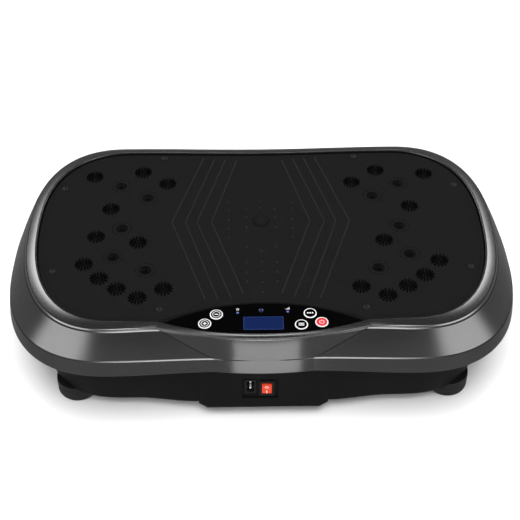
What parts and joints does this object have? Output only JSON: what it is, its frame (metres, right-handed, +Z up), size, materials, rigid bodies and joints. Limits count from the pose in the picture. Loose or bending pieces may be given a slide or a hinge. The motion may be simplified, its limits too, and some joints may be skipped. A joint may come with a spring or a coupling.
{
  "type": "vibration plate",
  "caption": "Low oscillating vibration plate: a rocking platform with a ribbed rubber mat and a front control panel on a tub with rubber feet, mains inlet and rocker switch.",
  "frame": {"origin": "on the floor, under the middle of the plate", "axes": "+X to the user's right along the plate's length, +Y to the rear, +Z up; the control panel and the mains inlet face -Y"},
  "size_m": [0.528, 0.329, 0.1225],
  "materials": {
    "black_plastic": "fine-grained moulded plastic",
    "dark_plastic": "smooth moulded plastic",
    "foot_rubber": "soft moulded rubber",
    "belt_rubber": "flat belt",
    "steel": "turned steel",
    "screw_cap": "satin painted domed head",
    "painted_steel": "black powder coat",
    "alloy": "cast and machined",
    "brass": "plated brass",
    "board_green": "printed circuit board",
    "loom": "sleeved leads",
    "shell_paint": "satin gunmetal metallic paint on moulded plastic",
    "deck_wood": "plywood",
    "mat_rubber": "textured matte rubber",
    "gloss_black": "back-printed glossy lens",
    "display_blue": "blue display window",
    "window": "dark infrared window",
    "lamp": "clear lamp lens",
    "key_white": "white marked key",
    "key_red": "red key",
    "rocker_red": "translucent red rocker"
  },
  "bodies": {
    "base": {"base_housing": "black_plastic", "chassis_frame": "painted_steel", "foot_front_left": "foot_rubber", "foot_front_right": "foot_rubber", "foot_rear_left": "foot_rubber", "foot_rear_right": "foot_rubber", "foot_screw_front_left": "steel", "foot_screw_front_right": "steel", "foot_screw_rear_left": "steel", "foot_screw_rear_right": "steel", "power_panel": "black_plastic", "power_inlet": "dark_plastic", "inlet_pin_upper": "brass", "inlet_pin_lower": "brass", "switch_body": "dark_plastic", "motor_housing": "steel", "motor_bracket": "painted_steel", "pivot_block_front": "alloy", "pivot_block_rear": "alloy", "pivot_bearing_front": "steel", "pivot_bearing_rear": "steel", "crank_block_front": "alloy", "crank_block_rear": "alloy", "crank_bearing_front": "steel", "crank_bearing_rear": "steel", "power_board": "board_green", "drive_belt": "belt_rubber", "wiring_loom": "loom"},
    "motor_rotor": {"motor_shaft": "steel", "motor_pulley": "alloy"},
    "crank": {"crank_shaft": "steel", "driven_pulley": "alloy"},
    "rod": {"connecting_rod": "steel"},
    "platform": {"top_shell": "shell_paint", "deck_board": "deck_wood", "rubber_mat": "mat_rubber", "platform_frame": "painted_steel", "pivot_shaft": "steel", "wrist_pin": "steel", "control_housing": "dark_plastic", "control_lens": "gloss_black", "display_window": "display_blue", "control_board": "board_green", "ir_window": "window", "led_left": "lamp", "led_right": "lamp", "mat_screw_front_side_left": "screw_cap", "mat_screw_front_side_right": "screw_cap", "mat_screw_rear_side_left": "screw_cap", "mat_screw_rear_side_right": "screw_cap", "mat_screw_rear_left": "screw_cap", "mat_screw_rear_right": "screw_cap", "mat_screw_front_left": "screw_cap", "mat_screw_front_right": "screw_cap"},
    "power_rocker": {"rocker_button": "rocker_red"},
    "button_minus_key": {"button_minus": "key_white"},
    "button_plus_key": {"button_plus": "key_white"},
    "button_mode_key": {"button_mode": "key_white"},
    "button_program_key": {"button_program": "key_white"},
    "button_power_key": {"button_power": "key_red"}
  },
  "joints": [
    {"name": "platform_rock", "type": "hinge", "parent": "base", "child": "platform", "pos_m": [0, 0, 0.066], "axis": [0, 1, 0], "range_deg": [-1.5, 1.5]},
    {"name": "crank_spin", "type": "hinge", "parent": "base", "child": "crank", "pos_m": [0.1025, -0.032, 0.0425], "axis": [0, 1, 0], "continuous": true},
    {"name": "motor_spin", "type": "hinge", "parent": "base", "child": "motor_rotor", "pos_m": [0.1575, -0.032, 0.05], "axis": [0, 1, 0], "continuous": true},
    {"name": "rod_turn", "type": "hinge", "parent": "crank", "child": "rod", "pos_m": [0.1051, 0.0055, 0.0425], "axis": [0, 1, 0], "continuous": true},
    {"name": "power_switch", "type": "hinge", "parent": "base", "child": "power_rocker", "pos_m": [0.0032, -0.1528, 0.041], "axis": [1, 0, 0], "range_deg": [-18, 0]},
    {"name": "button_minus_press", "type": "slide", "parent": "platform", "child": "button_minus_key", "axis": [0, 0.0523, -0.9986], "range_m": [0, 0.0008], "stiffness_N_per_m": 300, "springref_m": -0.0003},
    {"name": "button_plus_press", "type": "slide", "parent": "platform", "child": "button_plus_key", "axis": [0, 0.0523, -0.9986], "range_m": [0, 0.0008], "stiffness_N_per_m": 300, "springref_m": -0.0003},
    {"name": "button_mode_press", "type": "slide", "parent": "platform", "child": "button_mode_key", "axis": [0, 0.0523, -0.9986], "range_m": [0, 0.0008], "stiffness_N_per_m": 300, "springref_m": -0.0003},
    {"name": "button_program_press", "type": "slide", "parent": "platform", "child": "button_program_key", "axis": [0, 0.0523, -0.9986], "range_m": [0, 0.0008], "stiffness_N_per_m": 300, "springref_m": -0.0003},
    {"name": "button_power_press", "type": "slide", "parent": "platform", "child": "button_power_key", "axis": [0, 0.0523, -0.9986], "range_m": [0, 0.0008], "stiffness_N_per_m": 300, "springref_m": -0.0003}
  ],
  "couplings": [
    {"joint": "motor_spin", "follows": "crank_spin", "ratio": 2},
    {"joint": "rod_turn", "follows": "crank_spin", "ratio": -1}
  ]
}
